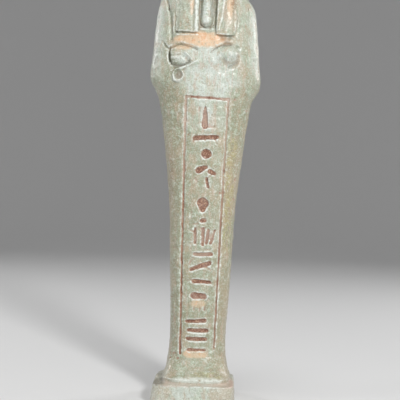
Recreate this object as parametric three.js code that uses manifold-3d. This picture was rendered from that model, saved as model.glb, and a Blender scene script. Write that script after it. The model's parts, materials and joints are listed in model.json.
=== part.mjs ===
// An ushabti: a mummiform funerary figurine, moulded in one piece of glazed faience together with its
// back pillar and plinth. It wears a plain tripartite wig and a long false beard, crosses its hands on
// its chest, and carries a framed column of shallow strokes down the front of its shroud.
//
// Millimetres, +Z up. The figure faces -Y, and the origin is the centre of the plinth's underside.
import * as THREE from "three";
import { mergeVertices } from "three/addons/utils/BufferGeometryUtils.js";
import Module from "manifold-3d";

const wasm = await Module();
wasm.setup();
const { degToRad, lerp, clamp, smoothstep } = THREE.MathUtils;
const up = new THREE.Vector3(0, 0, 1);

// ---- Driving dimensions ------------------------------------------------------------------------------

const figureHeight = 178;
const axisY = 2; // the upright axis of body and head stands a little behind the plinth's middle
const elbow = { height: 117.0, halfWidth: 20.6 };
const plinth = { halfWidth: 15.2, halfDepth: 16.2, height: 7.5, batter: 0.5, edge: 0.9 };
const plinthMiddle = { atFoot: -1.0, atTop: -0.7 };
const pillar = { halfWidth: 4.8, backAtFoot: 15.2, backAtTop: 13.9, top: 143 };
const wig = { nape: 139.3, inner: 3.3, hemLeft: 132.5, hemRight: 133.9, shoulder: 148.5, throat: 154.5 };
const bed = { bottom: 134.8, top: 148.3, depth: 0.6 };
const face = { centre: 161.6, halfWidth: 8.7, halfHeight: 8.9, border: 4.3, rise: 4.3, hairline: 169.4 };
const beard = { x: -0.3, tip: 137.9, halfWidth: 2.4, front: -10 };
const panel = { top: 110.4, bottom: 17, topHalf: 7.7, bottomHalf: 6.1, lean: 0.9, line: 0.95 };
const carving = { lineDepth: 0.45, strokeDepth: 0.55 };
const skew = { footTurn: -2.3, shoulderSlope: -0.06, bow: 0.35 }; // it came out of the mould a little crooked

// ---- Solids and lofts --------------------------------------------------------------------------------

// A closed three.js geometry as a manifold solid, and back.
function solidOf(geometry) {
  const bare = new THREE.BufferGeometry().setAttribute("position", geometry.getAttribute("position"));
  bare.setIndex(geometry.index);
  const merged = mergeVertices(bare, 1e-4);
  return new wasm.Manifold(
    new wasm.Mesh({
      numProp: 3,
      vertProperties: new Float32Array(merged.getAttribute("position").array),
      triVerts: new Uint32Array(merged.index.array),
    }),
  );
}

function geometryOf(solid) {
  const { numProp, numVert, vertProperties, triVerts } = solid.getMesh();
  const points = new Float32Array(numVert * 3);
  for (let i = 0; i < numVert; i++) {
    points.set(vertProperties.subarray(i * numProp, i * numProp + 3), i * 3);
  }
  const geometry = new THREE.BufferGeometry();
  geometry.setAttribute("position", new THREE.BufferAttribute(points, 3));
  geometry.setIndex(new THREE.BufferAttribute(new Uint32Array(triVerts), 1));
  geometry.computeVertexNormals();
  return geometry;
}

function united(solids) {
  return solids.reduce((sum, next) => sum.add(next));
}

// One closed cross-section: a superellipse that may reach further to the front than to the back.
function section(z, { halfWidth, front, back, squareness, centreX = 0, centreY = axisY }, columns) {
  const power = 2 / squareness;
  return Array.from({ length: columns }, (_, i) => {
    const angle = (i / columns) * Math.PI * 2;
    const [c, s] = [Math.cos(angle), Math.sin(angle)];
    const reach = s < 0 ? front : back;
    return new THREE.Vector3(
      centreX + halfWidth * Math.sign(c) * Math.abs(c) ** power,
      centreY + reach * Math.sign(s) * Math.abs(s) ** power,
      z,
    );
  });
}

// The crookedness: the foot and plinth are turned a little, the legs bow to the figure's left, and its
// left shoulder hangs.
function askew(point) {
  const turn = degToRad(skew.footTurn) * (1 - smoothstep(point.z, plinth.height + 2, 30));
  const shoulders = smoothstep(point.z, 60, 112) * (1 - smoothstep(point.z, 148, 160));
  point.applyAxisAngle(up, turn);
  point.x += skew.bow * smoothstep(point.z, 12, 40) * (1 - smoothstep(point.z, 96, 112));
  point.z += skew.shoulderSlope * shoulders * point.x;
  return point;
}

// Skins a stack of sections, lowest first, and closes both ends with a fan round their middle.
function loft(sections) {
  const columns = sections[0].length;
  const points = sections.flat();
  const faces = [];
  for (let row = 0; row + 1 < sections.length; row++) {
    for (let i = 0; i < columns; i++) {
      const [a, b] = [row * columns + i, row * columns + ((i + 1) % columns)];
      faces.push(a, b, b + columns, a, b + columns, a + columns);
    }
  }
  [0, sections.length - 1].forEach((row) => {
    const ring = sections[row];
    const middle = ring.reduce((sum, p) => sum.add(p), new THREE.Vector3()).divideScalar(columns);
    const hub = points.push(middle) - 1;
    for (let i = 0; i < columns; i++) {
      const [a, b] = [row * columns + i, row * columns + ((i + 1) % columns)];
      faces.push(...(row === 0 ? [hub, b, a] : [hub, a, b]));
    }
  });
  const geometry = new THREE.BufferGeometry().setFromPoints(points);
  geometry.setIndex(faces);
  return solidOf(geometry);
}

// Stations are [height, half-width, reach to the front, reach to the back, squareness, rows to the next].
// The sections between them follow a smooth curve through all the stations.
function loftThrough(stations, columns, swell = 0) {
  const heights = stations.map((station) => station[0]);
  const measures = stations.flatMap((station) => station.slice(1, 5));
  const curve = new THREE.CubicInterpolant(heights, measures, 4, new Float64Array(4));
  const levels = stations.flatMap(([z, , , , , rows], i) =>
    i + 1 < stations.length
      ? Array.from({ length: rows }, (_, k) => z + ((heights[i + 1] - z) * k) / rows)
      : [z],
  );
  const sections = levels.map((z) => {
    const [halfWidth, front, back, squareness] = curve.evaluate(z);
    const grown = { halfWidth: halfWidth + swell, front: front + swell, back: back + swell };
    return section(z, { ...grown, squareness }, columns).map(askew);
  });
  return loft(sections);
}

// An egg-shaped mound: a sphere stretched to its half-sizes and narrowed towards its +X end.
function mound({ at, halfSizes, taper = 0, turn = [0, 0, 0], segments = [12, 8] }) {
  const geometry = new THREE.SphereGeometry(1, ...segments);
  const points = geometry.getAttribute("position");
  for (let i = 0; i < points.count; i++) {
    const narrowing = 1 - taper * (0.5 + 0.5 * points.getX(i));
    points.setXYZ(i, points.getX(i), points.getY(i) * narrowing, points.getZ(i) * narrowing);
  }
  geometry.scale(...halfSizes);
  geometry.applyMatrix4(new THREE.Matrix4().makeRotationFromEuler(new THREE.Euler(...turn.map(degToRad))));
  return solidOf(geometry.translate(...at));
}

// ---- Outlines drawn on the front, in X and Z ---------------------------------------------------------

const flat = ([x, z]) => new THREE.Vector2(x, z);

// Sweeps an outline through the depth between two distances in front of the figure's middle plane.
function frontPrism(outline, from = 40, to = 0) {
  const depth = from - to;
  const geometry = new THREE.ExtrudeGeometry(outline, { depth, bevelEnabled: false, curveSegments: 6 });
  return solidOf(geometry.rotateX(Math.PI / 2).translate(0, -to, 0));
}

// A bar with rounded ends, of which one may be narrower.
function bar({ x, z, length, width, endWidth = width, tilt = 0, steps = 3 }) {
  const turn = degToRad(tilt);
  const end = (radius, middle, startAngle) =>
    Array.from({ length: steps + 1 }, (_, i) => {
      const angle = startAngle + (Math.PI * i) / steps;
      return new THREE.Vector2(middle + radius * Math.cos(angle), radius * Math.sin(angle));
    });
  const outline = [
    ...end(endWidth / 2, (length - endWidth) / 2, -Math.PI / 2),
    ...end(width / 2, (width - length) / 2, Math.PI / 2),
  ];
  return new THREE.Shape(outline.map((p) => p.rotateAround(flat([0, 0]), turn).add(flat([x, z]))));
}

// A strip of even width along a smooth line through a few points.
function strip(points, width, pieces = 6) {
  const line = new THREE.SplineCurve(points.map(flat));
  const edge = (side) =>
    Array.from({ length: pieces + 1 }, (_, i) => {
      const along = line.getTangent(i / pieces);
      const out = new THREE.Vector2(-along.y, along.x).multiplyScalar((side * width) / 2);
      return line.getPoint(i / pieces).add(out);
    });
  return new THREE.Shape([...edge(-1), ...edge(1).reverse()]);
}

// ---- Body --------------------------------------------------------------------------------------------

const bodyStations = [
  [plinth.height - 0.7, 12.6, 16.0, 10.6, 3.6, 1],
  [plinth.height + 1.7, 12.3, 15.8, 10.5, 3.6, 1],
  [plinth.height + 2.7, 11.9, 14.3, 10.2, 3.4, 2],
  [13.6, 11.05, 10.3, 9.4, 3.0, 2],
  [17, 10.6, 8.7, 8.9, 2.7, 2],
  [24, 10.15, 8.3, 8.7, 2.5, 1],
  [36, 10.75, 8.8, 9.0, 2.5, 1],
  [54, 11.55, 9.2, 9.4, 2.5, 1],
  [66, 11.9, 9.3, 9.7, 2.45, 2],
  [84, 13.5, 9.9, 10.2, 2.4, 1],
  [102, 15.7, 10.5, 10.3, 2.35, 1],
  [109.6, 16.9, 10.8, 10.4, 2.35, 1],
  [112.2, 18.2, 10.9, 10.4, 2.4, 2],
  [elbow.height - 1.6, 20.2, 11.0, 10.4, 2.5, 1],
  [elbow.height + 1, elbow.halfWidth, 11.05, 10.4, 2.5, 2],
  [124, 19.85, 11.0, 10.4, 2.45, 2],
  [133, 19.2, 10.7, 10.3, 2.4, 1],
  [140, 18.5, 10.2, 10.0, 2.35, 2],
  [145.2, 17.4, 9.4, 9.5, 2.3, 2],
  [148.4, 15.2, 8.5, 8.9, 2.3, 2],
  [151, 11.4, 7.2, 8.0, 2.2, 1],
];

function shroud(swell = 0) {
  return loftThrough(bodyStations, 40, swell);
}

function plinthBlock() {
  const { halfWidth, halfDepth, height, batter, edge } = plinth;
  const tiers = [
    [0, 0],
    [height - edge, batter],
    [height - edge * 0.3, batter + edge * 0.3],
    [height, batter + edge],
  ];
  const sections = tiers.map(([z, inset]) => {
    const [reach, wide] = [halfDepth - inset, halfWidth - inset];
    const size = { halfWidth: wide, front: reach, back: reach, squareness: 7 };
    const centreX = lerp(plinthMiddle.atFoot, plinthMiddle.atTop, z / height);
    return section(z, { ...size, centreX, centreY: 0 }, 32).map(askew);
  });
  return loft(sections);
}

function backPillar() {
  const { halfWidth, backAtFoot, backAtTop, top } = pillar;
  const tiers = [
    [plinth.height - 0.7, backAtFoot],
    [30, lerp(backAtFoot, backAtTop, 0.17)],
    [top, backAtTop],
  ];
  const sections = tiers.map(([z, back]) =>
    section(z, { halfWidth, front: 0, back: back - 6, squareness: 9, centreY: 6 }, 20).map(askew),
  );
  return loft(sections);
}

// ---- Wig ---------------------------------------------------------------------------------------------

const wigStations = [
  [131.6, 13.2, 12.0, 11.4, 4.4, 2],
  [139, 13.2, 11.5, 12.2, 4.0, 1],
  [145, 13.2, 10.9, 12.7, 3.5, 1],
  [150, 13.3, 10.2, 12.9, 3.1, 1],
  [156, 13.5, 9.7, 12.8, 2.8, 2],
  [163, 13.6, 9.6, 12.2, 2.6, 1],
  [168.6, 13.0, 10.6, 11.2, 2.5, 2],
  [172.4, 11.4, 9.9, 9.6, 2.4, 2],
  [175.4, 8.9, 7.8, 7.3, 2.3, 2],
  [177.3, 5.4, 4.8, 4.5, 2.1, 1],
  [figureHeight, 1.6, 1.4, 1.4, 2, 1],
];

// The opening round the face: an egg, squared off at the hairline.
function faceOutline(margin = 0) {
  const { centre, halfWidth, halfHeight, hairline } = face;
  const [a, b] = [halfWidth + margin, halfHeight + margin];
  const corner = Math.asin((hairline + margin - centre) / b) * 0.86;
  const outline = new THREE.Shape();
  outline.moveTo(a * Math.cos(corner), hairline - 0.5 + margin);
  outline.quadraticCurveTo(0, hairline + 0.9 + margin, -a * Math.cos(corner), hairline - 0.5 + margin);
  outline.absellipse(0, centre, a, b, Math.PI - corner, corner, false);
  return outline;
}

// What the front of the wig loses to leave two lappets: both flanks, the gap between them, and
// everything under their hems.
function lappetTrim() {
  const { inner, hemLeft, hemRight, shoulder, throat } = wig;
  const outlines = [
    [[-20, 130], [-11.2, 130], [-11.2, 139], [-11.9, 144], [-13.5, shoulder], [-20, shoulder]],
    [[20, 130], [20, shoulder], [13.5, shoulder], [11.8, 144], [10.8, 139], [9.9, 130]],
    [[-inner, 130], [inner, 130], [inner + 0.6, throat], [-inner, throat]],
    [[-20, 130], [20, 130], [20, hemLeft - 0.6], [-20, hemRight + 0.6]],
  ];
  return united(outlines.map((outline) => frontPrism(new THREE.Shape(outline.map(flat)), 40, 6)));
}

// The bed of the beard: the gap goes on into the chest a little way, and is rounded at its foot.
function beardBed() {
  const [middle, length] = [(bed.bottom + bed.top) / 2, bed.top - bed.bottom];
  return bar({ x: 0.1, z: middle, length, width: 6.4, tilt: 90, steps: 5 });
}

// Behind the shoulders the wig hangs in one mass that ends level at the nape.
function belowNape() {
  const underside = new THREE.Shape([[-4, 120], [30, 120], [30, wig.nape], [-4, wig.nape]].map(flat));
  const geometry = new THREE.ExtrudeGeometry(underside, { depth: 60, bevelEnabled: false });
  const alongX = new THREE.Matrix4().makeBasis(
    new THREE.Vector3(0, 1, 0),
    new THREE.Vector3(0, 0, 1),
    new THREE.Vector3(1, 0, 0),
  );
  return solidOf(geometry.translate(0, 0, -30).applyMatrix4(alongX));
}

function tripartiteWig() {
  const openings = [frontPrism(faceOutline(), 40, 3), lappetTrim(), belowNape()];
  return openings.reduce((left, opening) => left.subtract(opening), loftThrough(wigStations, 34));
}

// ---- Face, ears and beard ----------------------------------------------------------------------------

// The features are set out in thirds: brow, foot of the nose, chin.
const chinZ = face.centre - face.halfHeight + 1.4;
const third = (face.hairline - chinZ) / 2.9;
const [noseFoot, brow] = [chinZ + third - 0.5, chinZ + 2 * third + 0.5];
const mouth = noseFoot - third * 0.38;
const eye = { x: 3.7, z: brow - 2.0 };

const bell = (value, centre, width) => Math.exp(-(((value - centre) / width) ** 2));

// How far the skin stands in front of the figure's middle plane at a place on the face.
function faceReach(x, z) {
  const { centre, halfWidth, halfHeight, border, rise } = face;
  const side = Math.abs(x);
  const edge = (side / (halfWidth + 0.6)) ** 2.6 + Math.abs((z - centre) / (halfHeight + 0.4)) ** 6;
  const skull = border + rise * Math.max(0, 1 - edge) ** 0.42;
  const brows = 0.5 * bell(side, 3.6, 3.0) * bell(z, brow + 0.2, 0.9);
  const sockets = -0.9 * bell(side, eye.x, 2.4) * bell(z, eye.z, 1.4);
  const cheeks = 0.45 * bell(side, 4.9, 2.3) * bell(z, noseFoot + 0.8, 2.4);
  const muzzle = 0.7 * bell(x, 0, 3.1) * bell(z, mouth, 1.7);
  const chin = 1.5 * bell(x, 0, 2.9) * bell(z, chinZ, 1.5);
  return skull + brows + sockets + cheeks + muzzle + chin;
}

// The face as a solid: a grid of reaches in front of a flat back, finer towards the nose, trimmed to the
// wig's opening.
function faceMask() {
  const [columns, rows, backY] = [20, 22, -1];
  const denser = (t) => t * (0.8 + 0.2 * t * t);
  const points = [];
  for (let j = 0; j <= rows; j++) {
    const z = face.centre - 0.8 + (face.halfHeight + 0.2) * denser((2 * j) / rows - 1);
    for (let i = 0; i <= columns; i++) {
      const x = (face.halfWidth + 0.5) * denser((2 * i) / columns - 1);
      points.push(new THREE.Vector3(x, -faceReach(x, z), z));
    }
  }
  const wide = columns + 1;
  const faces = [];
  for (let j = 0; j < rows; j++) {
    for (let a = j * wide; a < j * wide + columns; a++) {
      faces.push(a, a + 1, a + wide + 1, a, a + wide + 1, a + wide);
    }
  }
  const rim = [
    ...Array.from({ length: columns }, (_, i) => i),
    ...Array.from({ length: rows }, (_, j) => j * wide + columns),
    ...Array.from({ length: columns }, (_, i) => rows * wide + columns - i),
    ...Array.from({ length: rows }, (_, j) => (rows - j) * wide),
  ];
  const behind = rim.map((i) => points.push(points[i].clone().setY(backY)) - 1);
  const hub = points.push(new THREE.Vector3(0, backY, face.centre)) - 1;
  rim.forEach((a, k) => {
    const next = (k + 1) % rim.length;
    faces.push(a, behind[next], rim[next], a, behind[k], behind[next], hub, behind[next], behind[k]);
  });
  const geometry = new THREE.BufferGeometry().setFromPoints(points);
  geometry.setIndex(faces);
  return solidOf(geometry).intersect(frontPrism(faceOutline(0.35), 40, 0.5));
}

// A nose with a rounded tip and spread wings.
function nose() {
  const skin = faceReach(0, brow);
  const tiers = [
    [noseFoot - 0.35, 1.3, 0.6],
    [noseFoot, 1.95, 1.6],
    [noseFoot + 0.8, 1.85, 2.3],
    [noseFoot + 2.2, 1.3, 1.8],
    [eye.z, 0.95, 0.7],
    [brow + 1, 0.9, 0.1],
  ];
  const sections = tiers.map(([z, halfWidth, out]) =>
    section(z, { halfWidth, front: skin + out - 4, back: 0, squareness: 2.1, centreY: -4 }, 12),
  );
  return loft(sections);
}

function eyesAndLips() {
  const eyes = [-1, 1].map((side) => {
    const at = [side * eye.x, 0.75 - faceReach(eye.x, eye.z), eye.z];
    return mound({ at, halfSizes: [1.95, 1.3, 0.85], turn: [0, side * -4, side * 14], segments: [10, 6] });
  });
  const lips = [
    [mouth + 0.6, 2.4],
    [mouth - 0.65, 1.95],
  ].map(([z, halfWidth]) => {
    const at = [0, 0.45 - faceReach(0, z), z];
    return mound({ at, halfSizes: [halfWidth, 1.0, 0.68], segments: [10, 6] });
  });
  return [...eyes, ...lips];
}

// An ear laid on the front of the wig, and the hollow of its shell.
function ear(side) {
  const turn = [4, 0, side * 24];
  return {
    shell: mound({ at: [side * 10.5, -5.2, 162.4], turn, halfSizes: [1.75, 1.6, 3.1], segments: [10, 8] }),
    hollow: mound({ at: [side * 10.2, -6.9, 162.6], turn, halfSizes: [0.9, 0.8, 1.8], segments: [8, 6] }),
  };
}

// Narrow under the chin and wider downwards, with a round tip that curls forward.
function falseBeard() {
  const rows = 4;
  const root = face.centre - face.halfHeight + 1.5;
  const sections = Array.from({ length: rows + 1 }, (_, i) => {
    const rise = i / rows;
    const halfWidth = lerp(beard.halfWidth, 1.8, rise);
    const size = { halfWidth, front: -3.5 - beard.front - 0.5 * rise, back: 0, squareness: 2.4 };
    return section(lerp(beard.tip, root, rise), { ...size, centreX: beard.x, centreY: -3.5 }, 12);
  });
  const at = [beard.x, beard.front + beard.halfWidth - 0.7, beard.tip];
  const halfSizes = [beard.halfWidth - 0.05, beard.halfWidth, beard.halfWidth - 0.1];
  return loft(sections).add(mound({ at, halfSizes, segments: [12, 6] }));
}

// ---- Relief on the chest -----------------------------------------------------------------------------

// Each fist swells out of a forearm that sinks away towards the middle of the chest, where a low rise
// under the shroud stands for the crossed wrists.
function hands() {
  const fist = { segments: [16, 10] };
  return [
    mound({ at: [-7.6, -7.4, 124.9], halfSizes: [5.9, 3.0, 4.4], taper: 0.36, turn: [0, 6, 6], ...fist }),
    mound({ at: [5.4, -7.4, 125.3], halfSizes: [6.6, 3.5, 4.5], taper: 0.56, turn: [0, -8, 174], ...fist }),
    mound({ at: [0.2, -8.6, 123.6], halfSizes: [6.6, 0.95, 3.6], segments: [12, 6] }),
  ];
}

// The hoe hangs below the figure's right hand: a slanting handle and a round-ended blade with a rim.
function hoe(swollen) {
  const blade = { x: -9.95, tilt: 90, steps: 5 };
  const handle = strip([[-4.3, 123], [-6.8, 121.2], [-9.6, 120.2]], 0.9, 3);
  const rim = bar({ ...blade, z: 117.8, length: 4.9, width: 4.4 });
  rim.holes.push(bar({ ...blade, z: 118.1, length: 3.7, width: 3.0 }));
  return united([handle, rim].map((outline) => swollen.intersect(frontPrism(outline))));
}

// The grooves that part the upper arms from the chest, deep beside the figure's right fist.
function armGrooves() {
  return [
    strip([[-15.0, 146.5], [-13.7, 141.6], [-12.9, 136.5], [-12.7, 130.6]], 0.9, 6),
    strip([[-15.6, 130], [-14.5, 128.3], [-13.0, 127.4]], 0.8, 3),
    strip([[-13.0, 128.2], [-13.3, 125.6], [-12.9, 122.4]], 1.1, 3),
    strip([[15.0, 144], [15.2, 137]], 0.6, 2),
  ];
}

// ---- The framed column of strokes --------------------------------------------------------------------

// The panel's edges lean with its outline: x of the left (-1) or right (1) line at a height.
function panelEdge(side, z) {
  const drop = (panel.top - z) / (panel.top - panel.bottom);
  return side * lerp(panel.topHalf, panel.bottomHalf, drop) + panel.lean * (1 - drop) ** 2;
}

function panelLines() {
  const { top, bottom, line } = panel;
  const middle = (top + bottom) / 2;
  const upright = (side, end, width) =>
    strip([top, middle, end].map((z) => [panelEdge(side, z), z]), width, 4);
  const ends = [[panelEdge(-1, top) - line / 2, top], [panelEdge(1, top) + line / 2, top - 0.7]];
  return [strip(ends, line, 1), upright(-1, bottom, line), upright(1, bottom + 2, line * 0.8)];
}

// Plain strokes, top to bottom: [share of the way down, share across, length, width, end width, tilt].
const strokeRows = [
  [0.08, -0.06, 8.4, 0.8, 2.4, -90],
  [0.157, 0.02, 9.6, 2.1, 1.5, 4],
  [0.219, 0.08, 4.0, 3.7, 3.7, 0],
  [0.278, -0.12, 4.9, 2.5, 1.4, 24],
  [0.291, 0.42, 3.6, 2.0, 1.2, -24],
  [0.33, 0.2, 4.6, 1.2, 1.2, -78],
  [0.418, 0.02, 5.6, 4.6, 2.2, -90],
  [0.477, 0.08, 2.8, 1.7, 1.7, 0],
  [0.535, -0.32, 6.2, 1.0, 1.0, 90],
  [0.54, 0.1, 7.2, 1.1, 1.1, 90],
  [0.54, 0.34, 6.0, 1.0, 1.2, 84],
  [0.54, 0.62, 6.0, 0.9, 0.9, 74],
  [0.608, 0.14, 7.6, 1.3, 1.3, 0],
  [0.655, 0.02, 8.8, 1.5, 1.9, 20],
  [0.714, 0.1, 7.2, 1.7, 1.1, 0],
  [0.77, -0.02, 6.2, 2.5, 2.3, -2],
  [0.868, -0.12, 8.2, 1.3, 1.5, 2],
  [0.905, 0.0, 8.2, 1.6, 1.6, -1],
  [0.938, -0.06, 8.2, 1.6, 1.6, 0],
  [0.98, -0.06, 7.4, 1.3, 1.0, 0],
];

function strokes() {
  return strokeRows.map(([down, shift, length, width, endWidth, tilt]) => {
    const z = lerp(panel.top, panel.bottom, down);
    const x = lerp(panelEdge(-1, z), panelEdge(1, z), 0.5 + shift / 2);
    return bar({ x, z, length, width, endWidth, tilt, steps: Math.round(2 + width) });
  });
}

// Cuts outlines into the front to an even depth below the shroud's surface.
function carve(solid, outlines, depth) {
  const below = shroud(-depth);
  return outlines.reduce((left, outline) => left.subtract(frontPrism(outline).subtract(below)), solid);
}

// ---- The figurine ------------------------------------------------------------------------------------

function ushabti() {
  const draped = united([shroud(), plinthBlock(), backPillar(), tripartiteWig(), hoe(shroud(0.55))]);
  const slotted = carve(draped, [beardBed()], bed.depth);
  const ears = [-1, 1].map(ear);
  const clad = united([
    slotted,
    faceMask(),
    nose(),
    ...eyesAndLips(),
    falseBeard(),
    ...hands(),
    ...ears.map(({ shell }) => shell),
  ]);
  const hollowed = ears.reduce((left, { hollow }) => left.subtract(hollow), clad);
  const grooved = carve(hollowed, [...panelLines(), ...armGrooves()], carving.lineDepth);
  return carve(grooved, strokes(), carving.strokeDepth);
}

const faience = new THREE.MeshStandardMaterial({
  color: new THREE.Color().setRGB(0.7, 0.71, 0.62, THREE.SRGBColorSpace),
  roughness: 0.5,
  metalness: 0,
});

const figurine = new THREE.Group();
const mesh = new THREE.Mesh(geometryOf(ushabti()), faience);
mesh.name = "ushabti";
figurine.add(mesh);

export default figurine;
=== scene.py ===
# Faience ushabti: the moulded surface, its glaze and wear, and a small studio around it.
# Modelling happens in millimetres, Z up, the figure facing -Y; the finished piece goes back to metres.
import json
import math
from types import SimpleNamespace

import bpy
import numpy as np
from mathutils import Matrix, Vector

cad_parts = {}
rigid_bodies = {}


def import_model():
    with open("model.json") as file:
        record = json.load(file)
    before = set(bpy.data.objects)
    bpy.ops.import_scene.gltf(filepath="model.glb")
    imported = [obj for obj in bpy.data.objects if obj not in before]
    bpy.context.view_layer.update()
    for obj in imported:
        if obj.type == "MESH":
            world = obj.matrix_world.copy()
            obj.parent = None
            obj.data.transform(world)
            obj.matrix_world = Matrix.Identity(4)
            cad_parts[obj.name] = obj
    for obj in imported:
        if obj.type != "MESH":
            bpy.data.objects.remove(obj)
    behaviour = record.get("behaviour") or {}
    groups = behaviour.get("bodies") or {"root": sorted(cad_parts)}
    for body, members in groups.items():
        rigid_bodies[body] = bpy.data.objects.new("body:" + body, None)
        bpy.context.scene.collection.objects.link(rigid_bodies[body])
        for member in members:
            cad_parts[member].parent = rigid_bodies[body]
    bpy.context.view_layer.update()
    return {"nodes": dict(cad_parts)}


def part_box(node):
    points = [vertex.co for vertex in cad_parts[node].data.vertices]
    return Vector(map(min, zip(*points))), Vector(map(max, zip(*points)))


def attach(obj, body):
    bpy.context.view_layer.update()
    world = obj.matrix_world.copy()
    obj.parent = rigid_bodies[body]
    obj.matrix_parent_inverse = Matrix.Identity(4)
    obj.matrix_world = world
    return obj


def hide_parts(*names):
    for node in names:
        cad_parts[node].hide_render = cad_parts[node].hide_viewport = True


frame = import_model()
low, high = [corner * 1000 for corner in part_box("ushabti")]
height = high.z - low.z
print("loaded the packed figurine, %.1f mm tall" % height)


# helpers

def makeActive(piece):
    bpy.ops.object.select_all(action="DESELECT")
    piece.select_set(True)
    bpy.context.view_layer.objects.active = piece


def applyModifier(piece, kind, **settings):
    modifier = piece.modifiers.new(kind.title(), kind)
    for name, value in settings.items():
        setattr(modifier, name, value)
    makeActive(piece)
    bpy.ops.object.modifier_apply(modifier=modifier.name)


def readVectors(piece, name="co"):
    values = np.empty(len(piece.data.vertices) * 3, np.float32)
    piece.data.vertices.foreach_get(name, values)
    return values.reshape(-1, 3).astype(float)


def writePoints(piece, points):
    piece.data.vertices.foreach_set("co", points.astype(np.float32).ravel())
    piece.data.update()


def storeField(piece, name, values):
    field = piece.data.attributes.new(name, "FLOAT", "POINT")
    field.data.foreach_set("value", values.astype(np.float32))


def relaxedPoints(piece, passes):
    twin = piece.copy()
    twin.data = piece.data.copy()
    bpy.context.scene.collection.objects.link(twin)
    applyModifier(twin, "SMOOTH", factor=0.5, iterations=passes)
    points = readVectors(twin)
    bpy.data.meshes.remove(twin.data)
    return points


def reliefOf(piece, points, normals, passes):  # how far each point stands out of its relaxed surroundings
    return np.sum((points - relaxedPoints(piece, passes)) * normals, axis=1)


def fade(values, start, end):  # 0 at start, 1 at end, smooth between
    share = np.clip((values - start) / (end - start), 0, 1)
    return share * share * (3 - 2 * share)


# the moulded body: a copy of the solid, its facets rounded out and its edges worn

bodyShape = {
    "weld": 0.002,
    "flatAngle": 14,        # triangles pair up to quads where they meet flatter than this
    "quadAngle": 45,
    "creaseAngle": 27,      # edges sharper than this stay edges while the facets are rounded
    "roundingLevels": 2,
    "voxel": 0.22,
    "wearPasses": 6,
    "triangles": 190000,
}


def copySolid(node, name):
    piece = frame["nodes"][node].copy()
    piece.data = piece.data.copy()
    piece.name = piece.data.name = name
    piece.parent = None
    for key in [key for key in piece.keys() if key.startswith("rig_")]:
        del piece[key]
    piece.data.materials.clear()
    bpy.context.scene.collection.objects.link(piece)
    piece.matrix_world = Matrix.Scale(1000, 4)
    makeActive(piece)
    bpy.ops.object.transform_apply(location=True, rotation=True, scale=True)
    return piece


def roundFacets(piece):
    makeActive(piece)
    bpy.ops.object.mode_set(mode="EDIT")
    bpy.ops.mesh.select_mode(type="EDGE")
    bpy.ops.mesh.select_all(action="SELECT")
    bpy.ops.mesh.remove_doubles(threshold=bodyShape["weld"])
    flat, square = math.radians(bodyShape["flatAngle"]), math.radians(bodyShape["quadAngle"])
    bpy.ops.mesh.tris_convert_to_quads(face_threshold=flat, shape_threshold=square)
    bpy.ops.mesh.select_all(action="DESELECT")
    bpy.ops.mesh.edges_select_sharp(sharpness=math.radians(bodyShape["creaseAngle"]))
    bpy.ops.transform.edge_crease(value=1)
    bpy.ops.object.mode_set(mode="OBJECT")
    levels = bodyShape["roundingLevels"]
    applyModifier(piece, "SUBSURF", levels=levels, render_levels=levels)


ushabti = copySolid("ushabti", "ushabti_faience")
roundFacets(ushabti)
applyModifier(ushabti, "REMESH", mode="VOXEL", voxel_size=bodyShape["voxel"])
applyModifier(ushabti, "SMOOTH", factor=0.5, iterations=bodyShape["wearPasses"])
print("rounded and worn body:", len(ushabti.data.polygons), "faces")


# modelling on that body: soft ridges and grooves drawn on the front as lines in X and Z

faceLines = {  # one side of the face: points, width, height (a groove is below zero)
    "upperLid": ([(1.8, 162.8), (2.7, 163.7), (3.8, 164.05), (5.0, 163.6), (5.9, 162.95)], 0.30, 0.30),
    "paintLine": ([(5.9, 162.95), (7.3, 162.7)], 0.34, 0.20),
    "lowerLid": ([(2.0, 162.55), (3.0, 162.1), (4.1, 162.05), (5.2, 162.4), (5.9, 162.9)], 0.28, 0.20),
    "lidCrease": ([(2.0, 164.0), (3.0, 164.6), (4.2, 164.8), (5.6, 164.2)], 0.30, -0.14),
    "brow": ([(1.3, 165.1), (2.3, 165.9), (3.9, 166.2), (5.6, 165.7), (7.2, 164.5)], 0.45, 0.34),
    "wing": ([(1.5, 160.6), (2.15, 159.9), (2.25, 159.0), (1.9, 158.5)], 0.32, -0.22),
    "cheekFold": ([(2.6, 159.0), (3.3, 157.9), (3.4, 156.9)], 0.6, -0.12),
    "earRim": (
        [(9.4, 160.5), (9.3, 163.2), (10.0, 165.0), (11.4, 164.6), (11.7, 162.3), (10.5, 159.9)], 0.35, 0.25
    ),
}
middleLines = {
    "lipParting": ([(-2.5, 157.0), (-1.3, 156.8), (0, 156.95), (1.3, 156.8), (2.5, 157.0)], 0.24, -0.34),
    "philtrum": ([(0, 158.5), (0, 157.9)], 0.35, -0.16),
    "chinFold": ([(-1.5, 155.5), (0, 155.35), (1.5, 155.5)], 0.45, -0.2),
}
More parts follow.
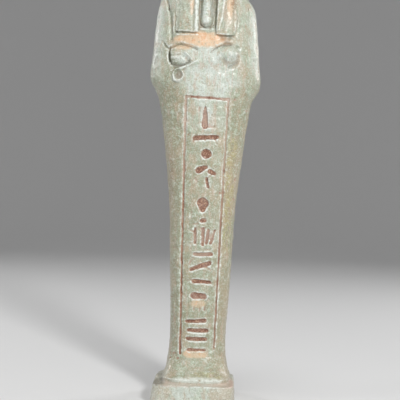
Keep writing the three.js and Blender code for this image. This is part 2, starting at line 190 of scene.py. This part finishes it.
chestLines = {
    "shroudEdgeRight": ([(-12.4, 128.0), (-9.8, 129.0), (-6.6, 128.6), (-3.4, 127.4)], 0.5, -0.42),
    "shroudEdgeLeft": ([(1.6, 126.4), (4.2, 128.4), (6.4, 129.3), (9.2, 129.6), (11.8, 128.6)], 0.5, -0.42),
    "shroudLipRight": (
        [(-12.0, 129.3), (-9.8, 130.2), (-6.4, 129.8), (-3.0, 128.4), (0.2, 127.2)], 0.8, 0.17
    ),
    "shroudLipLeft": ([(0.2, 127.2), (3.4, 129.2), (6.2, 130.5), (9.4, 130.8)], 0.8, 0.17),
    "rightFistSide": ([(-13.0, 128.2), (-13.3, 125.2), (-12.5, 122.0)], 0.45, -0.5),
    "rightFistFoot": ([(-12.2, 121.9), (-9.4, 121.3), (-6.3, 122.0)], 0.5, -0.34),
    "leftFistSide": ([(10.9, 128.2), (11.5, 125.6), (10.9, 122.9), (8.2, 121.4)], 0.7, -0.7),
    "rightThumb": ([(-7.6, 125.9), (-6.2, 124.7), (-5.2, 123.7)], 0.6, 0.7),
    "rightThumbUnder": ([(-8.4, 124.4), (-6.7, 123.3), (-5.6, 122.3)], 0.4, -0.28),
    "rightKnuckleA": ([(-12.4, 126.6), (-9.2, 127.0)], 0.34, -0.2),
    "rightKnuckleB": ([(-12.6, 124.9), (-9.4, 125.1)], 0.34, -0.2),
    "rightKnuckleC": ([(-12.2, 123.3), (-9.2, 123.2)], 0.34, -0.18),
    "leftFistBack": ([(3.4, 123.8), (6.0, 125.8), (8.6, 126.9)], 1.8, 0.7),
    "leftThumb": ([(8.0, 123.8), (9.1, 125.4)], 1.2, 0.75),
    "leftKnuckleA": ([(4.6, 126.4), (5.6, 124.9), (6.3, 123.4)], 0.4, -0.17),
    "leftKnuckleB": ([(2.4, 125.0), (3.2, 124.0), (3.6, 122.8)], 0.4, -0.12),
    "handle": ([(-3.2, 123.3), (-6.2, 121.3), (-9.4, 120.5), (-12.4, 119.6)], 0.42, 0.38),
    "bladeRim": ([(-8.1, 119.2), (-8.0, 117.6), (-9.4, 116.1), (-11.2, 116.4), (-12, 118.0)], 0.4, 0.34),
    "bladeHollow": ([(-10.0, 118.7), (-10.0, 117.9)], 0.9, -0.2),
    "armGroove": ([(-15.1, 146.6), (-13.9, 141.8), (-13.1, 136.6), (-12.9, 130.4)], 0.7, -0.38),
    "armRidge": ([(-12.6, 148.0), (-12.1, 140.5), (-11.9, 134.2), (-10.8, 132.6)], 0.6, 0.36),
    "leftArmRidge": ([(12.4, 145.0), (11.6, 140.0), (11.2, 134.0)], 0.4, 0.16),
    "leftArmOuter": ([(15.6, 147.0), (16.9, 139.0), (17.4, 128.0)], 0.7, 0.28),
    "leftArmGroove": ([(14.6, 145.6), (15.4, 139.0), (15.4, 131.0)], 0.5, -0.16),
    "sleeveHook": ([(-15.7, 130.1), (-14.6, 128.3), (-13.2, 127.5)], 0.4, -0.25),
    "rightLappetBand": ([(-5.2, 147.5), (-5.1, 134.9)], 0.45, -0.26),
    "rightLappetOuter": ([(-10.4, 147.0), (-10.5, 134.6)], 0.4, -0.24),
    "rightLappetInner": ([(-4.2, 148), (-4.1, 134.0)], 0.6, 0.34),
    "leftLappetInner": ([(6.3, 150), (5.6, 142.0), (4.4, 134.6)], 0.6, 0.36),
    "leftLappetBand": ([(7.4, 149), (6.7, 142.0), (5.6, 135.0)], 0.4, -0.24),
    "leftLappetOuter": ([(9.6, 142.0), (9.7, 134.8)], 0.4, -0.24),
    "tipRing": (
        [(-2.2, 138.6), (-1.9, 136.9), (-0.3, 136.1), (1.3, 136.9), (1.6, 138.6), (-0.3, 139.9)], 0.3, -0.22
    ),
    "hem": ([(-10.8, 132.6), (-3.4, 132.6)], 0.5, 0.26),
    "bedFoot": ([(-3.2, 134.9), (3.2, 134.6)], 0.4, 0.18),
}
shinLines = {
    "rightUprightLip": ([(-7.8, 110), (-8.3, 63), (-6.9, 17)], 0.5, 0.12),
    "leftUprightLip": ([(9.9, 109), (7.9, 63), (6.7, 20)], 0.5, 0.12),
    "innerUpright": ([(7.4, 108.5), (5.9, 63)], 0.35, -0.10),
    "instep": ([(-9.5, 12.9), (-3, 13.6), (3, 13.5), (9.5, 12.6)], 0.8, -0.16),
    "toeEdge": ([(-11.8, 9.2), (0, 9.4), (11.4, 9.0)], 0.6, 0.22),
}
faintTicks = {
    "width": 0.4,
    "depth": 0.3,
    "marks": [  # small and worn, between the main strokes: x, z, length, tilt
        (-3.4, 95.2, 2.2, 70), (4.4, 94.6, 1.8, -60), (0.6, 95.4, 1.4, 90), (-1.8, 106.0, 1.6, 90),
        (2.4, 99.6, 2.6, 8), (3.0, 82.2, 1.6, 40), (-2.2, 80.4, 1.4, -50), (-3.6, 67.6, 2.2, 84),
        (-2.0, 64.6, 1.8, 10), (-3.0, 62.0, 1.6, -20), (3.6, 60.2, 2.0, 80), (-2.8, 57.4, 2.4, 4),
        (2.6, 55.2, 1.8, 0), (-3.4, 50.6, 1.5, 60), (3.4, 48.4, 1.8, -30), (-3.6, 44.0, 1.2, 20),
        (3.8, 43.2, 1.3, 0), (-1.6, 33.8, 1.0, 90), (0.4, 33.6, 1.0, 90), (2.2, 34.0, 0.9, 90),
    ],
}
plait = {"across": (-2.4, -0.3, 1.8), "top": 150.5, "foot": 141.0, "turns": 9, "width": 0.3, "depth": 0.12}


def smoothLine(path, pieces=8):
    points = np.array([path[0], *path, path[-1]], float)
    share = np.linspace(0, 1, pieces, endpoint=False)[:, None]
    stretches = []
    for a, b, c, d in zip(points, points[1:], points[2:], points[3:]):
        bend = (2 * a - 5 * b + 4 * c - d) * share**2 + (3 * b - a - 3 * c + d) * share**3
        stretches.append((2 * b + (c - a) * share + bend) / 2)
    return np.vstack([*stretches, points[-1:]])


def drawLine(points, path, width, depth):  # moves the front along Y, out for a ridge and in for a groove
    line = smoothLine(path)
    reach = 3 * width
    near = (points[:, 1] < -1) & np.all(points[:, [0, 2]] > line.min(0) - reach, axis=1)
    near &= np.all(points[:, [0, 2]] < line.max(0) + reach, axis=1)
    flat = points[near][:, [0, 2]]
    nearest = np.full(len(flat), np.inf)
    for start, end in zip(line[:-1], line[1:]):
        along = end - start
        share = np.clip((flat - start) @ along / (along @ along), 0, 1)
        nearest = np.minimum(nearest, np.linalg.norm(flat - start - share[:, None] * along, axis=1))
    points[near, 1] -= depth * np.exp(-((nearest / width) ** 2))


def modelDetails(piece):
    points = readVectors(piece)
    for path, width, depth in faceLines.values():
        for side in (-1, 1):
            drawLine(points, [(side * x, z) for x, z in path], width, depth)
    for lines in (middleLines, chestLines, shinLines):
        for path, width, depth in lines.values():
            drawLine(points, path, width, depth)
    for x, z, length, tilt in faintTicks["marks"]:
        half = np.array([math.cos(math.radians(tilt)), math.sin(math.radians(tilt))]) * length / 2
        ends = [np.array([x, z]) - half, np.array([x, z]) + half]
        drawLine(points, ends, faintTicks["width"], -faintTicks["depth"])
    step = (plait["top"] - plait["foot"]) / plait["turns"]
    left, middle, right = plait["across"]
    for turn in range(plait["turns"]):
        z = plait["foot"] + turn * step
        path = [(left, z + step * 0.7), (middle, z), (right, z + step * 0.7)]
        drawLine(points, path, plait["width"], -plait["depth"])
    writePoints(piece, points)


modelDetails(ushabti)
print("modelled the face, hands and grooves")


# a loose mould: every edge wanders a little, and shallow lines fill up

unevenness = {  # size, depth
    "wander": (2.4, 0.42),
    "swell": (9.0, 0.40),
    "lumps": (2.8, 0.17),
    "grain": (0.8, 0.11),
}


def cloudPattern(name, size, **settings):
    texture = bpy.data.textures.new(name, "CLOUDS")
    texture.noise_scale = size
    for key, value in settings.items():
        setattr(texture, key, value)
    return texture


def wanderEdges(piece):
    size, reach = unevenness["wander"]
    pattern = cloudPattern("wander", size, cloud_type="COLOR")
    settings = {"texture_coords": "LOCAL", "direction": "RGB_TO_XYZ", "strength": reach, "mid_level": 0.5}
    applyModifier(piece, "DISPLACE", texture=pattern, **settings)


def roughen(piece, name):
    size, depth = unevenness[name]
    pattern = cloudPattern(name, size)
    applyModifier(piece, "DISPLACE", texture=pattern, texture_coords="LOCAL", strength=depth, mid_level=0.5)


wanderEdges(ushabti)


# damage: dents, pits and burrs, the same in every run

damage = {
    "chips": [  # place, radius, depth
        ((-18.6, 0, 112.4), 1.6, 0.5), ((19.8, -1, 113.2), 1.2, 0.3), ((-15.3, -15.6, 7.2), 1.8, 0.45),
        ((13.0, -16.2, 6.8), 1.3, 0.3), ((-11.2, -7.5, 133.6), 0.9, 0.3), ((9.9, -9.0, 132.6), 1.2, 0.35),
        ((3.6, 15.6, 88.0), 1.4, 0.4), ((-4.4, 15.8, 46.0), 1.2, 0.35), ((6.0, 10.0, 172.0), 1.8, 0.3),
        ((-13.6, 6.0, 141.0), 1.5, 0.4), ((12.0, 12.0, 6.9), 1.5, 0.4),
    ],
    "pits": 900,
    "pitRadius": (0.22, 0.4),  # least, and the most that chance adds
    "pitDepth": 0.5,           # of the radius
    "burr": 0.8,               # share of the relief that stands up again along cut edges
    "burrLimit": 0.16,
    "burrPasses": 14,
    "seed": 11,
}


def pressIn(points, normals, place, radius, depth):
    near = np.all(np.abs(points - place) < 2.5 * radius, axis=1)
    offset = np.linalg.norm(points[near] - place, axis=1) / radius
    points[near] -= normals[near] * (depth * np.exp(-(offset**2)))[:, None]


def wearSurface(piece):
    points, normals = readVectors(piece), readVectors(piece, "normal")
    relief = reliefOf(piece, points, normals, damage["burrPasses"])
    points += normals * (damage["burr"] * np.clip(relief, 0, damage["burrLimit"]))[:, None]
    for place, radius, depth in damage["chips"]:
        pressIn(points, normals, np.array(place), radius, depth)
    random = np.random.default_rng(damage["seed"])
    least, extra = damage["pitRadius"]
    for vertex in random.choice(len(points), damage["pits"]):
        radius = least + extra * random.random() ** 3
        pressIn(points, normals, points[vertex].copy(), radius, radius * damage["pitDepth"])
    writePoints(piece, points)


wearSurface(ushabti)


# fields that the glaze follows: how deep a point is cut below a lid laid over the front, the worn dish
# round each cut, the raised lip below it (painted pale as a highlight), and where the surface is hollow or
# proud

lid = {
    "cell": 0.3,               # of the grid that the lid is worked out on
    "closing": 9,              # cells: the lid spans cuts up to twice as wide
    "dish": 5,                 # passes that spread the dish
    "dishDepth": 0.16,
    "lipDrop": 2,              # cells that the lip stands below its cut
    "lipHeight": 0.16,
    "lipClear": (0.25, 0.05),  # there is no lip where the body itself is cut this deep
    "slack": 0.05,             # less than this below the lid is no cut
    "deep": (0.15, 0.4),       # how deep a cut has to be for a dish and a lip
    "facing": (0.45, 0.7),     # how squarely a point has to face the front
    "panelTop": (115, 111),    # above this no dish and no lip is pressed into the body
}
edgeRelief = {"passes": 16, "hollow": 0.14, "proud": 0.12}


def spread(heights, reach, choose):  # the highest or lowest value within reach
    wide = np.pad(heights, reach, mode="edge")
    rows, columns = heights.shape
    found = heights.copy()
    for i in range(-reach, reach + 1):
        for j in range(-reach, reach + 1):
            if i * i + j * j <= reach * reach:
                found = choose(found, wide[reach + i:reach + i + rows, reach + j:reach + j + columns])
    return found


def blurred(heights, passes):
    for _ in range(passes):
        wide = np.pad(heights, 1, mode="edge")
        heights = sum(wide[1 + i:wide.shape[0] - 1 + i, 1:-1] for i in (-1, 0, 1)) / 3
        wide = np.pad(heights, 1, mode="edge")
        heights = sum(wide[1:-1, 1 + j:wide.shape[1] - 1 + j] for j in (-1, 0, 1)) / 3
    return heights


def sampled(heights, across, up):
    i, j = [np.clip(v.astype(int), 0, n - 2) for v, n in zip((across, up), heights.shape)]
    s, t = np.clip(across - i, 0, 1), np.clip(up - j, 0, 1)
    low = heights[i, j] * (1 - s) + heights[i + 1, j] * s
    high = heights[i, j + 1] * (1 - s) + heights[i + 1, j + 1] * s
    return low * (1 - t) + high * t


def cutFields(points, normals):
    x, y, z = points.T
    across, up = (x - x.min()) / lid["cell"], (z - z.min()) / lid["cell"]
    heights = np.full((int(across.max()) + 2, int(up.max()) + 2), -5.0)  # empty cells lie far back
    front = normals[:, 1] < -0.3
    cells = np.round(across[front]).astype(int), np.round(up[front]).astype(int)
    np.maximum.at(heights, cells, -y[front])
    gaps = heights < -4
    heights[gaps] = spread(heights, 1, np.maximum)[gaps]
    cover = spread(spread(heights, lid["closing"], np.maximum), lid["closing"], np.minimum)
    facing = fade(-normals[:, 1], *lid["facing"])
    cut = np.maximum(sampled(blurred(cover, 1), across, up) + y - lid["slack"], 0) * facing
    deep = fade(blurred(cover, 1) - heights, *lid["deep"])
    dish = sampled(blurred(deep, lid["dish"]), across, up) * facing
    lip = sampled(blurred(deep, 1), across, np.minimum(up + lid["lipDrop"], up.max()))
    return cut, dish, lip * facing * fade(cut, *lid["lipClear"])


def storeFields(piece):
    points, normals = readVectors(piece), readVectors(piece, "normal")
    relief = reliefOf(piece, points, normals, edgeRelief["passes"])
    cut, dish, lip = cutFields(points, normals)
    storeField(piece, "cut", cut)
    storeField(piece, "dish", dish)
    storeField(piece, "lip", lip)
    storeField(piece, "hollow", np.clip(-relief / edgeRelief["hollow"], 0, 1))
    storeField(piece, "proud", np.clip(relief / edgeRelief["proud"], 0, 1))
    panel = fade(points[:, 2], *lid["panelTop"])
    sink = lid["dishDepth"] * dish - lid["lipHeight"] * lip
    writePoints(piece, points - normals * (sink * panel)[:, None])


storeFields(ushabti)
print("stored the fields for the glaze")

for name in ("swell", "lumps", "grain"):
    roughen(ushabti, name)


def keepInside(piece):  # the bumps never leave the box of the solid
    writePoints(piece, np.clip(readVectors(piece), np.array(low), np.array(high)))


keepInside(ushabti)
share = bodyShape["triangles"] / (2 * len(ushabti.data.polygons))
applyModifier(ushabti, "DECIMATE", ratio=min(1.0, share))
keepInside(ushabti)
print("finished surface:", len(ushabti.data.polygons), "faces")

makeActive(ushabti)
ushabti.scale = (0.001, 0.001, 0.001)
bpy.ops.object.transform_apply(location=True, rotation=True, scale=True)
bpy.ops.object.shade_smooth()


# glaze

class Field:  # a socket that takes part in sums like a number
    def __init__(self, socket):
        self.socket = socket

    def node(self, kind, settings=None, inputs=None, output=0):
        tree = self.socket.id_data
        made = tree.nodes.new(kind)
        for name, value in (settings or {}).items():
            setattr(made, name, value)
        for key, value in (inputs or {}).items():
            if isinstance(value, Field):
                tree.links.new(value.socket, made.inputs[key])
            else:
                made.inputs[key].default_value = value
        return Field(made.outputs[output])

    def math(self, operation, *others):
        inputs = dict(enumerate([self, *others]))
        return self.node("ShaderNodeMath", {"operation": operation}, inputs)

    def __add__(self, other):
        return self.math("ADD", other)

    def __sub__(self, other):
        return self.math("SUBTRACT", other)

    def __rsub__(self, other):
        return (self * -1) + other

    def __mul__(self, other):
        return self.math("MULTIPLY", other)

    __radd__, __rmul__ = __add__, __mul__

    def __truediv__(self, other):
        return self.math("DIVIDE", other)

    def __pow__(self, other):
        return self.math("POWER", other)

    def clipped(self):
        return self.math("MAXIMUM", 0).math("MINIMUM", 1)

    def rise(self, start, end):  # 0 at start, 1 at end
        inputs = {"Value": self, "From Min": start, "From Max": end}
        return self.node("ShaderNodeMapRange", {"interpolation_type": "SMOOTHSTEP"}, inputs)

    def scaled(self, factors):
        inputs = {0: self, 1: factors}
        return self.node("ShaderNodeVectorMath", {"operation": "MULTIPLY"}, inputs)

    def noise(self, size, detail=3, roughness=0.55):
        inputs = {"Vector": self, "Scale": 1 / size, "Detail": detail, "Roughness": roughness}
        return self.node("ShaderNodeTexNoise", {}, inputs)

    def blend(self, under, upper, mask):  # sockets 0, 6 and 7 are the share and the two colours
        settings = {"data_type": "RGBA", "clamp_factor": True}
        return self.node("ShaderNodeMix", settings, {0: mask, 6: under, 7: upper}, output=2)

    def over(self, name, mask):  # this colour, with a named one laid over it where the mask is
        return self.blend(self, glazeColours[name], mask)


def shade(red, green, blue):  # display values 0-255 to the linear ones that a shader takes
    linear = [(v / 255 / 12.92) if v < 11 else ((v / 255 + 0.055) / 1.055) ** 2.4 for v in (red, green, blue)]
    return (*linear, 1)


glazeColours = {
    "ground": shade(172, 177, 157),
    "olive": shade(142, 142, 114),
    "cool": shade(203, 211, 203),
    "green": shade(172, 186, 162),
    "tan": shade(182, 162, 136),
    "pale": shade(229, 234, 227),
    "pigment": shade(150, 106, 86),
    "darkPigment": shade(112, 76, 60),
    "pink": shade(198, 170, 154),
    "rust": shade(216, 158, 112),
    "rustPale": shade(226, 194, 160),
    "ochre": shade(172, 160, 104),
    "brown": shade(132, 108, 80),
    "dirtAndShade": shade(94, 80, 64),
    "speck": shade(84, 80, 66),
}
glazePatches = {  # on the front: x, z, reach in x, reach in z, strength
    # the cool patch at x 7, z 125 over the left fist is a painted highlight; the other cool patches are the
    # glaze's tone
    "cool": [
        (1, 119, 13, 13, 0.9), (0.8, 102, 3, 6, 0.7), (7, 125, 4.5, 3.2, 0.7), (0, 104, 9, 9, 0.2),
        (-0.3, 142, 2.6, 9, 0.9),
    ],
    "tan": [(8.2, 143, 3, 10, 1)],
    "ochre": [(9.5, 72, 2.4, 20, 1), (10.5, 92, 2.0, 6, 1), (4, 10.4, 6, 1.6, 0.7)],
    "legBrown": [(-12.2, 82, 1.7, 9, 1)],
    "lappetBrown": [(9.4, 144, 1.2, 4, 1)],
    "rust": [
        (-1.5, 130.9, 11, 3.0, 0.9), (8.2, 144, 1.4, 6, 0.6), (-5.6, 145, 0.9, 6, 0.45),
        (0, 35.6, 3.5, 1.6, 0.5), (-0.5, 17.4, 5.0, 1.6, 0.6), (-9, 128.0, 4.2, 1.3, 0.5),
    ],
    "lostInk": [(0.4, 103, 2.4, 5, 0.55), (0.5, 60.7, 6, 3.6, 0.45), (0, 53.8, 5, 1.3, 0.5)],
}
glazeFinish = {"roughness": 0.3, "coat": 0.3, "coatRoughness": 0.24, "bump": 0.9, "bumpHeight": 0.0003}


def glazeSkin(start):  # what the layers are masked by: places, patterns and the stored fields
    place = start.node("ShaderNodeTexCoord", output="Object").scaled((1000, 1000, 1000))
    split = place.node("ShaderNodeSeparateXYZ", {}, {0: place})
    x, y, z = [Field(split.socket.node.outputs[axis]) for axis in "XYZ"]
    stored = {
        name: start.node("ShaderNodeAttribute", {"attribute_name": name}, output="Fac")
        for name in ("cut", "dish", "lip", "hollow", "proud")
    }
    return SimpleNamespace(
        x=x, y=y, z=z, side=x.math("ABSOLUTE"),
        front=y.rise(1, -5), panel=z.rise(113, 111) * z.rise(13.5, 15.5),
        broad=place.noise(14), middle=place.noise(4.5, 4), crumbs=place.noise(1.7, 5, 0.7),
        fine=place.noise(0.9, 4, 0.65), grit=place.noise(0.5, 4, 0.7), specks=place.noise(0.45, 2),
        streaks=place.scaled((1.5, 1.5, 0.12)).noise(1.0, 4, 0.6),
        blotches=place.scaled((1, 1, 0.45)).noise(3.0, 5, 0.65), **stored,
    )


def patches(skin, name):
    def patch(x, z, reachX, reachZ, strength):  # its edge frays with the middle pattern
        far = ((skin.x - x) / reachX) ** 2 + ((skin.z - z) / reachZ) ** 2 + (skin.middle - 0.5) * 1.6
        return far.rise(1.15, 0.35) * skin.front * strength

    return sum(patch(*place) for place in glazePatches[name])


def inkLeft(skin):  # pigment in the cuts: worn off at some strokes, and more so along the frame
    frameSide = (skin.x - 0.3).math("ABSOLUTE").rise(5.1, 5.6)
    frameInk = skin.z.rise(100, 70) * (skin.x.rise(1, -1) * 0.4 + 0.6) + 0.14
    ink = (1 + (frameInk - 1) * frameSide) * (1 - patches(skin, "lostInk"))
    ink = ink * (skin.middle.rise(0.3, 0.6) * 0.4 + 0.6) * skin.fine.rise(0.1, 0.42)
    return (skin.cut + frameSide * 0.16).rise(0.2, 0.5) * skin.panel * ink


def bodyColour(start, skin):
    # painted shade: below the fists the flanks lean to olive, darker as they turn away from the light
    flankShade = skin.side.rise(5.5, 12) * skin.z.rise(118, 96)
    olive = skin.broad * 0.9 + skin.middle * 0.8 + flankShade * 0.6 + skin.z.rise(110, 20) * 0.12 - 0.2
    colour = start.blend(glazeColours["ground"], glazeColours["olive"], olive.rise(0.42, 0.86) * 0.8)
    # painted highlights: a cool pale tint along the arms' outer contours and the right shin's edge, where
    # light grazes
    armEdgeHighlight = skin.side.rise(14.5, 17) * skin.z.rise(116, 124) * 0.7
    shinEdgeHighlight = skin.x.rise(-9.5, -11) * skin.z.rise(52, 40) * 0.5
    ends = skin.z.rise(9.5, 7) * 0.8 + skin.z.rise(126, 138) * 0.2  # the plinth, and all above the fists
    cool = patches(skin, "cool") + ends + armEdgeHighlight + shinEdgeHighlight
    colour = colour.over("cool", cool.clipped() * skin.fine.rise(0.15, 0.5))
    colour = colour.over("green", skin.crumbs.rise(0.46, 0.6) * skin.middle.rise(0.4, 0.56) * 0.75)
    leftLeg = skin.x.rise(3, 11) * skin.z.rise(112, 96) * skin.broad.rise(0.35, 0.62)
    rightLeg = skin.x.rise(-7, -12) * skin.z.rise(104, 90) * 0.6
    flecks = skin.crumbs.rise(0.46, 0.34) * 0.6 + skin.blotches.rise(0.5, 0.62) * 0.9
    colour = colour.over("tan", (leftLeg + rightLeg + flecks + patches(skin, "tan")).clipped() * 0.62)
    ochre = patches(skin, "ochre").clipped()
    colour = colour.over("ochre", ochre * skin.crumbs.rise(0.44, 0.56) * 0.75)
    colour = colour.over("brown", ochre * skin.crumbs.rise(0.42, 0.34) * 0.6)
    colour = colour.over("brown", patches(skin, "legBrown") * skin.crumbs.rise(0.4, 0.56) * 0.6)
    return colour.over("pink", skin.streaks.rise(0.53, 0.66) * skin.z.rise(8, 12) * 0.45)


def withGrain(colour, skin):  # a pink bloom round the cuts, and the fine mottling over all
    colour = colour.over("pink", skin.dish.rise(0.1, 0.5) * skin.panel * skin.crumbs.rise(0.38, 0.56) * 0.6)
    colour = colour.over("pink", skin.cut.rise(0.05, 0.28) * skin.panel * 0.7)
    colour = colour.over("pale", skin.grit.rise(0.5, 0.67) * 0.46 + skin.crumbs.rise(0.54, 0.7) * 0.4)
    return colour.over("olive", skin.grit.rise(0.48, 0.33) * 0.5 + skin.crumbs.rise(0.42, 0.3) * 0.25)


def withStains(colour, skin):
    rust = (patches(skin, "rust") * skin.crumbs.rise(0.26, 0.44)).clipped()
    colour = colour.over("rustPale", rust)
    colour = colour.over("rust", rust * skin.crumbs.rise(0.5, 0.62) * 0.85)
    return colour.over("brown", patches(skin, "lappetBrown") * skin.crumbs.rise(0.46, 0.56) * 0.6)


def withWornEdgesAndPaintedLight(colour, skin):  # pale where it is proud (wear, partly a painted highlight) or round a cut, a painted highlight on each lip, painted shade in hollows and deep cuts
    rims = skin.dish.rise(0.05, 0.3) * skin.cut.rise(0.12, 0.04) * skin.panel
    # partly wear and partly a painted highlight: proud ridges and edges are painted pale
    colour = colour.over("pale", skin.proud.rise(0.12, 0.75) * skin.crumbs.rise(0.3, 0.54) * 0.85)
    colour = colour.over("pale", rims * skin.crumbs.rise(0.4, 0.6) * 0.6)
    # painted highlight: the raised lip below each cut is painted pale, as if its upper face caught the light
    colour = colour.over("pale", skin.lip.rise(0.25, 0.8) * skin.panel * skin.crumbs.rise(0.38, 0.58) * 0.75)
    # painted shade: hollows, and the deep cuts above the panel, are darkened where shade would fall
    colour = colour.over("dirtAndShade", skin.hollow.rise(0.3, 1.0) * 0.5)
    return colour.over("dirtAndShade", skin.cut.rise(0.3, 0.9) * skin.z.rise(112, 114) * 0.45)


def withInk(colour, skin, inked):  # with dark grains in the deeper cuts, and pale rusty ones
    colour = colour.over("pigment", inked)
    colour = colour.over("darkPigment", inked * skin.grit.rise(0.46, 0.56) * skin.cut.rise(0.25, 0.5) * 0.9)
    return colour.over("rustPale", inked * skin.grit.rise(0.46, 0.37) * 0.6)


def withFootDirtShadeAndHighlight(colour, skin):  # the plinth's top beside and before the foot, darker at the left (dirt and painted shade) and pink at the joint; a painted highlight on the toes' lower edge
    ledge = skin.z.rise(6.7, 7.2) * skin.z.rise(8.6, 8.0) * skin.front
    beside = skin.y.rise(-15.6, -15.0) * 0.55 + skin.x.rise(11.5, 12.5) * 0.45
    joint = ledge * skin.x.rise(-12.5, -10.5) * beside
    toeHighlight = skin.z.rise(8.0, 8.7) * skin.z.rise(10.6, 9.8) * skin.y.rise(-11.5, -13)
    # dirt and painted shade on the left of the plinth's top
    colour = colour.over("dirtAndShade", ledge * skin.x.rise(-10.5, -12.5) * skin.crumbs.rise(0.3, 0.55) * 0.6)
    colour = colour.over("pink", joint * skin.crumbs.rise(0.35, 0.5) * 0.8)
    # painted highlight along the toes' lower edge
    return colour.over("pale", toeHighlight * skin.crumbs.rise(0.3, 0.5) * 0.6)


def makeGlaze():
    material = bpy.data.materials.new("worn_faience")
    material.use_nodes = True
    shader = material.node_tree.nodes["Principled BSDF"]
    links = material.node_tree.links
    start = Field(shader.inputs["Base Color"])
    skin = glazeSkin(start)
    inked = inkLeft(skin)
    colour = withGrain(bodyColour(start, skin), skin)
    colour = withWornEdgesAndPaintedLight(withStains(colour, skin), skin)
    colour = withFootDirtShadeAndHighlight(withInk(colour, skin, inked), skin)
    colour = colour.over("speck", skin.specks.rise(0.66, 0.74) * skin.middle.rise(0.4, 0.6) * 0.7)
    links.new(colour.socket, shader.inputs["Base Color"])

    roughness = glazeFinish["roughness"] + skin.fine * 0.2 + inked * 0.3 + skin.crumbs.rise(0.5, 0.3) * 0.15
    links.new(roughness.clipped().socket, shader.inputs["Roughness"])
    bumps = skin.fine * 0.7 + skin.specks * 0.2 + skin.crumbs + skin.grit * 0.35
    bumps += skin.streaks * skin.z.rise(90, 120) * 0.8
    bumpInputs = {"Strength": glazeFinish["bump"], "Distance": glazeFinish["bumpHeight"], "Height": bumps}
    links.new(start.node("ShaderNodeBump", {}, bumpInputs).socket, shader.inputs["Normal"])
    shader.inputs["Coat Weight"].default_value = glazeFinish["coat"]
    shader.inputs["Coat Roughness"].default_value = glazeFinish["coatRoughness"]
    return material


ushabti.data.materials.append(makeGlaze())
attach(ushabti, "root")
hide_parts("ushabti")
print("glazed")


# studio: a pale bowl of paper, the main light at the front right, weaker ones left, above and behind

studio = {
    "floorRadius": 0.9,
    "floorSides": 96,
    "curl": 0.7,
    "wall": 0.8,
    "steps": 8,
    "paper": 0.72,
    "paperRoughness": 0.9,
    "lights": [
        {"name": "key_light", "at": (0.25, -0.61, 0.38), "size": 0.10, "power": 3.8},
        {"name": "left_light", "at": (-0.60, -0.20, 0.26), "size": 0.12, "power": 0.45},
        {"name": "top_light", "at": (-0.05, -0.20, 0.85), "size": 0.30, "power": 1.7},
        {"name": "left_rim", "at": (-0.50, 0.32, 0.30), "size": 0.16, "power": 1.0},
        {"name": "right_rim", "at": (0.50, 0.32, 0.30), "size": 0.16, "power": 1.0},
    ],
    "aim": (0, 0, 0.10),
    "worldGrey": 0.22,
}


def makeFloor():
    radius, curl, steps = studio["floorRadius"], studio["curl"], studio["steps"]
    sides = studio["floorSides"]
    bpy.ops.mesh.primitive_circle_add(vertices=sides, radius=radius, fill_type="NGON", location=(0, 0, 0))
    floor = bpy.context.object
    floor.name = "paper_floor"
    bpy.ops.object.mode_set(mode="EDIT")
    bpy.ops.mesh.select_all(action="SELECT")
    bpy.ops.mesh.region_to_loop()
    turns = [math.radians(90) * step / steps for step in range(steps + 1)]
    for last, turn in zip(turns, turns[1:]):  # the rim curls up into a wall
        rise = curl * (math.cos(last) - math.cos(turn))
        growth = (radius + curl * math.sin(turn)) / (radius + curl * math.sin(last))
        bpy.ops.mesh.extrude_region_move(TRANSFORM_OT_translate={"value": (0, 0, rise)})
        bpy.ops.transform.resize(value=(growth, growth, 1))
    bpy.ops.mesh.extrude_region_move(TRANSFORM_OT_translate={"value": (0, 0, studio["wall"])})
    bpy.ops.object.mode_set(mode="OBJECT")
    bpy.ops.object.shade_smooth()
    paper = bpy.data.materials.new("pale_paper")
    paper.use_nodes = True
    shader = paper.node_tree.nodes["Principled BSDF"]
    shader.inputs["Base Color"].default_value = (*[studio["paper"]] * 3, 1)
    shader.inputs["Roughness"].default_value = studio["paperRoughness"]
    floor.data.materials.append(paper)
    return floor


def makeLight(name, at, size, power):
    bpy.ops.object.light_add(type="AREA", location=at)
    light = bpy.context.object
    light.name = name
    light.data.shape = "DISK"
    light.data.size = size
    light.data.energy = power
    light.rotation_euler = (Vector(studio["aim"]) - Vector(at)).to_track_quat("-Z", "Y").to_euler()
    return light


bpy.ops.object.select_all(action="DESELECT")
makeFloor()
[makeLight(**light) for light in studio["lights"]]
world = bpy.data.worlds.new("studio")
bpy.context.scene.world = world
world.use_nodes = True
world.node_tree.nodes["Background"].inputs["Color"].default_value = (*[studio["worldGrey"]] * 3, 1)


# camera: level, opposite the thighs, close enough to crop the head, and turned a little

view = {"distance": 0.340, "height": 0.0732, "side": -0.0006, "lens": 82.9, "sensor": 36, "roll": 1.8}


def makeCamera():
    bpy.ops.object.camera_add(location=(view["side"], -view["distance"], view["height"]))
    camera = bpy.context.object
    camera.data.lens = view["lens"]
    camera.data.sensor_width = view["sensor"]
    level = Matrix.Rotation(math.radians(90), 4, "X")
    camera.rotation_euler = (level @ Matrix.Rotation(math.radians(view["roll"]), 4, "Z")).to_euler()
    bpy.context.scene.camera = camera
    return camera


makeCamera()
bpy.context.scene.view_settings.view_transform = "Standard"
print("studio ready")
